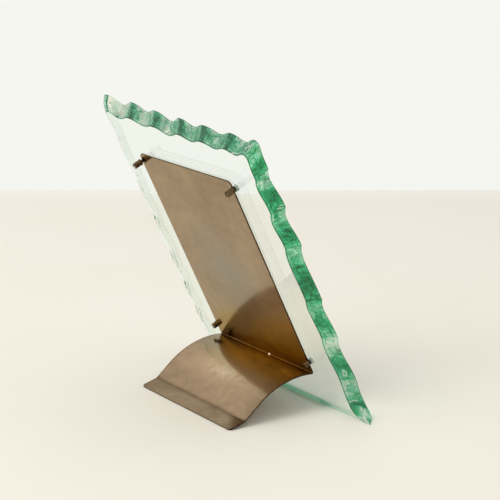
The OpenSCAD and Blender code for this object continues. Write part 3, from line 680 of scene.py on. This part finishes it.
def patinated(name, stops, reflection_stops, rough):
    """Brown brass under a thin wax or lacquer: cloudy colour in patches of 4 cm, dull specks of 8 mm. The
    skin's second value mixes in the golden colours of a painted reflection.
    """
    material, tree = new_material(name)
    patina_and_light_at = add(tree, "ShaderNodeAttribute", attribute_name="patina_and_painted_light").outputs["Vector"]
    values = add(tree, "ShaderNodeSeparateXYZ", {"Vector": patina_and_light_at})
    place = add(tree, "ShaderNodeTexCoord").outputs["Object"]
    cloud_place = add(tree, "ShaderNodeMapping", {
        "Vector": place, "Scale": (0.6, 1.0, 1.0)}).outputs["Vector"]
    cloud = add(tree, "ShaderNodeTexNoise", {
        "Vector": cloud_place, "Scale": patches(38.46), "Detail": 4.0, "Roughness": 0.55,
        "Distortion": 0.5}).outputs["Fac"]
    speck = add(tree, "ShaderNodeTexNoise", {
        "Vector": place, "Scale": patches(7.692), "Detail": 5.0, "Roughness": 0.65}).outputs["Fac"]
    mixed = add(tree, "ShaderNodeMix", {0: 0.42, 2: cloud, 3: speck}).outputs[0]
    mixed = add(tree, "ShaderNodeMath", {0: mixed, 1: 0.5}, operation="SUBTRACT").outputs[0]
    mixed = add(tree, "ShaderNodeMath", {
        0: mixed, 1: 0.8, 2: values.outputs["X"]}, operation="MULTIPLY_ADD").outputs[0]
    browned = add(tree, "ShaderNodeValToRGB", {"Fac": mixed}, stops=stops).outputs["Color"]
    # Golden colours of the painted reflection
    reflection_colour = add(tree, "ShaderNodeValToRGB", {"Fac": mixed}, stops=reflection_stops).outputs["Color"]
    skin = add(tree, "ShaderNodeMix", {
        0: values.outputs["Y"], 6: browned, 7: reflection_colour}, data_type="RGBA").outputs[2]
    bloomed = add(tree, "ShaderNodeMath", {0: values.outputs["Z"], 1: cloud}, operation="MULTIPLY").outputs[0]
    bloomed = add(tree, "ShaderNodeMath", {
        0: bloomed, 1: 1.6}, operation="MULTIPLY", use_clamp=True).outputs[0]
    skin = add(tree, "ShaderNodeMix", {
        0: bloomed, 6: skin, 7: linear("#857E78")}, data_type="RGBA").outputs[2]
    dull = add(tree, "ShaderNodeMapRange", {
        "Value": cloud, "From Min": 0.35, "From Max": 0.65, "To Min": rough[0], "To Max": rough[1]})
    metal = add(tree, "ShaderNodeBsdfPrincipled", {
        "Base Color": skin, "Metallic": 1.0, "Roughness": dull.outputs["Result"],
        "Specular Tint": linear("#FFF6E0"), "Coat Weight": 0.4, "Coat Roughness": 0.12, "Coat IOR": 1.5})
    add(tree, "ShaderNodeOutputMaterial", {"Surface": metal.outputs["BSDF"]})
    return material


# The faces are brown and fairly bright, golden where a reflection is painted; where the sheet was sheared it
# is darker and rougher
brown = patinated(
    "brass_brown_patina_and_painted_light",
    [(0.0, "#352615"), (0.28, "#6C553C"), (0.52, "#917961"), (0.78, "#B4987C"), (1.0, "#DDC9AC")],
    [(0.0, "#553A0A"), (0.26, "#A0760F"), (0.45, "#AC8A26"), (0.7, "#C4A050")], (0.14, 0.2))
sheared = [(0.2, "#33230F"), (0.7, "#5E451F")]
cut_brown = patinated("brass_dark_cut_edge", sheared, sheared, (0.25, 0.4))
stand.data.materials.append(brown)
stand.data.materials.append(cut_brown)
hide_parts("stand_sheet")
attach(stand, "frame")

# The solder drop. A drop of bright tin solder, 2 mm high, that has set in the fold, a little to the right
# of its middle. It is a ball stretched along the fold, and its skin is frosted in grains of 0.4 mm.
DROP_RADIUS, DROP_STRETCH, DROP_X = 1.0, 1.25, -6.0
drop_middle = fold_corner + 0.25 * along(ARCH_RISE + fold_angle / 2)
around, rise = np.meshgrid(np.linspace(0, 2 * np.pi, 24, endpoint=False), np.linspace(-1.5, 1.5, 13))
drop_points = DROP_RADIUS * np.stack([
    DROP_STRETCH * np.cos(around) * np.cos(rise), np.sin(around) * np.cos(rise), np.sin(rise)], -1)
drop_points = (drop_points + [DROP_X, drop_middle[0] + REAR_EDGE_Y, drop_middle[1]]) * MM
rows, ring = around.shape
drop_faces = [quad[::-1] for quad in ring_faces(rows, ring)]
drop_faces += [list(range(ring))[::-1], list(range((rows - 1) * ring, rows * ring))]
bead = new_object("solder_drop", drop_points, drop_faces, smooth=[True] * len(drop_faces))
solder, tree = new_material("solder_bright_tin")
place = add(tree, "ShaderNodeTexCoord").outputs["Object"]
frost = add(tree, "ShaderNodeTexNoise", {"Vector": place, "Scale": patches(0.4), "Detail": 3.0})
skin = add(tree, "ShaderNodeValToRGB", {"Fac": frost.outputs["Fac"]}, stops=[
    (0.3, "#CFC9BE"), (0.7, "#F4F1EA")]).outputs["Color"]
metal = add(tree, "ShaderNodeBsdfPrincipled", {"Base Color": skin, "Metallic": 1.0, "Roughness": 0.3})
add(tree, "ShaderNodeOutputMaterial", {"Surface": metal.outputs["BSDF"]})
bead.data.materials.append(solder)
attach(bead, "frame")

# The washers and screws. Slotted brass screws with tall turned heads press thin washers against the edges
# of the plate. They are darker than the sheet, and stained in spots of 1.5 mm that are also a little rough.
turned_brass, tree = new_material("brass_dark_turned")
place = add(tree, "ShaderNodeTexCoord").outputs["Object"]
stain = add(tree, "ShaderNodeTexNoise", {
    "Vector": place, "Scale": patches(1.538), "Detail": 4.0, "Roughness": 0.65}).outputs["Fac"]
skin = add(tree, "ShaderNodeValToRGB", {"Fac": stain}, stops=[
    (0.35, "#4A3A26"), (0.55, "#6E5A3E"), (0.72, "#94805C")]).outputs["Color"]
dull = add(tree, "ShaderNodeMapRange", {
    "Value": stain, "From Min": 0.3, "From Max": 0.7, "To Min": 0.22, "To Max": 0.42}).outputs["Result"]
relief = add(tree, "ShaderNodeBump", {"Strength": 0.25, "Distance": 0.0001, "Height": stain})
metal = add(tree, "ShaderNodeBsdfPrincipled", {
    "Base Color": skin, "Metallic": 1.0, "Roughness": dull, "Normal": relief.outputs["Normal"]})
add(tree, "ShaderNodeOutputMaterial", {"Surface": metal.outputs["BSDF"]})
dress("washer", turned_brass)
dress("screw", turned_brass)

# The table. A board painted cream, a hair below the frame, with a faint mottle. Its far edge pales over
# the last 7 cm, so that it runs softly into the wall.
AZIMUTH, ELEVATION = math.radians(234.846), math.radians(14.911)
TABLE_FAR, TABLE_NEAR, TABLE_HALF, TABLE_BELOW = 0.75, 2.2, 1.6, 0.00006
away = Vector((-math.sin(AZIMUTH), math.cos(AZIMUTH), 0))
sideways = Vector((math.cos(AZIMUTH), math.sin(AZIMUTH), 0))
centre = Vector((0, 0.04, 0))
corners = [tuple(centre + away * far + sideways * right - Vector((0, 0, TABLE_BELOW))) for far, right in (
    (TABLE_FAR, -TABLE_HALF), (TABLE_FAR, TABLE_HALF), (-TABLE_NEAR, TABLE_HALF), (-TABLE_NEAR, -TABLE_HALF))]
table = new_object("table_top", corners, [[0, 1, 2, 3]])
cream, tree = new_material("table_cream_board")
place = add(tree, "ShaderNodeTexCoord").outputs["Object"]
mottle = add(tree, "ShaderNodeTexNoise", {"Vector": place, "Scale": patches(166.7), "Detail": 2.0})
paint = add(tree, "ShaderNodeValToRGB", {"Fac": mottle.outputs["Fac"]}, stops=[
    (0.3, "#F4F2E8"), (0.7, "#F7F4EB")]).outputs["Color"]
turned = add(tree, "ShaderNodeMapping", {"Vector": place, "Rotation": (0, 0, -AZIMUTH)}).outputs["Vector"]
far = add(tree, "ShaderNodeSeparateXYZ", {"Vector": turned}).outputs["Y"]
fade = add(tree, "ShaderNodeMapRange", {"Value": far, "From Min": 0.66, "From Max": 0.73}).outputs["Result"]
paint = add(tree, "ShaderNodeMix", {0: fade, 6: paint, 7: linear("#FCFAF5")}, data_type="RGBA").outputs[2]
board = add(tree, "ShaderNodeBsdfPrincipled", {
    "Base Color": paint, "Roughness": 0.7, "Specular IOR Level": 0.1})
add(tree, "ShaderNodeOutputMaterial", {"Surface": board.outputs["BSDF"]})
table.data.materials.append(cream)

# The room and the lamp. Pale walls light the frame from all round, and one large soft lamp, like a window,
# stands high behind it. What the camera, metal and glass see of the walls is their own pale colour.
ROOM_STRENGTH, LAMP_SIZE, LAMP_POWER = 0.75, 1.5, 34.0
world = bpy.data.worlds.new("pale_room")
bpy.context.scene.world = world
world.use_nodes = True
tree = world.node_tree
tree.nodes.clear()
ray = add(tree, "ShaderNodeLightPath").outputs
seen = add(tree, "ShaderNodeMath", {0: ray["Is Camera Ray"], 1: ray["Is Glossy Ray"]}, operation="MAXIMUM")
seen = add(tree, "ShaderNodeMath", {
    0: seen.outputs[0], 1: ray["Is Transmission Ray"]}, operation="MAXIMUM").outputs[0]
wall = add(tree, "ShaderNodeBackground", {"Color": linear("#F6F6F1"), "Strength": 1.0}).outputs["Background"]
room = add(tree, "ShaderNodeBackground", {
    "Color": linear("#FFFDF9"), "Strength": ROOM_STRENGTH}).outputs["Background"]
mixed = add(tree, "ShaderNodeMixShader", {0: seen, 1: room, 2: wall})
add(tree, "ShaderNodeOutputWorld", {"Surface": mixed.outputs["Shader"]})

light = bpy.data.lights.new("window_light", "AREA")
light.shape, light.size, light.energy, light.color = "SQUARE", LAMP_SIZE, LAMP_POWER, linear("#FFFBF4")[:3]
lamp = bpy.data.objects.new("window_light", light)
from_frame = Vector((0.05, 2.2, 2.05))
lamp.location = centre + from_frame
lamp.rotation_mode = "QUATERNION"
lamp.rotation_quaternion = (from_frame - Vector((0, 0, 0.1))).to_track_quat("Z", "Y")
lamp.visible_transmission = False
bpy.context.scene.collection.objects.link(lamp)

# The viewpoint of the photograph: low behind the frame, to the right of it. Glass needs many bounces, and
# the light that it gathers on the table.
back = Vector((-away.x * math.cos(ELEVATION), -away.y * math.cos(ELEVATION), math.sin(ELEVATION)))
view = bpy.data.cameras.new("viewpoint")
view.sensor_width, view.lens = 36.0, 129.46
camera = bpy.data.objects.new("viewpoint", view)
camera.location = (-1.1580, 0.8484 + REAR_EDGE_Y * MM, 0.5000)
camera.rotation_mode = "QUATERNION"
camera.rotation_quaternion = back.to_track_quat("Z", "Y")
bpy.context.scene.collection.objects.link(camera)
bpy.context.scene.camera = camera

BOUNCES, CLEAR_BOUNCES = 32, 24
scene = bpy.context.scene
scene.view_settings.view_transform = "Standard"
scene.cycles.max_bounces = BOUNCES
scene.cycles.glossy_bounces = BOUNCES
scene.cycles.transmission_bounces = BOUNCES
scene.cycles.transparent_max_bounces = CLEAR_BOUNCES
scene.cycles.caustics_refractive = True
scene.cycles.caustics_reflective = True
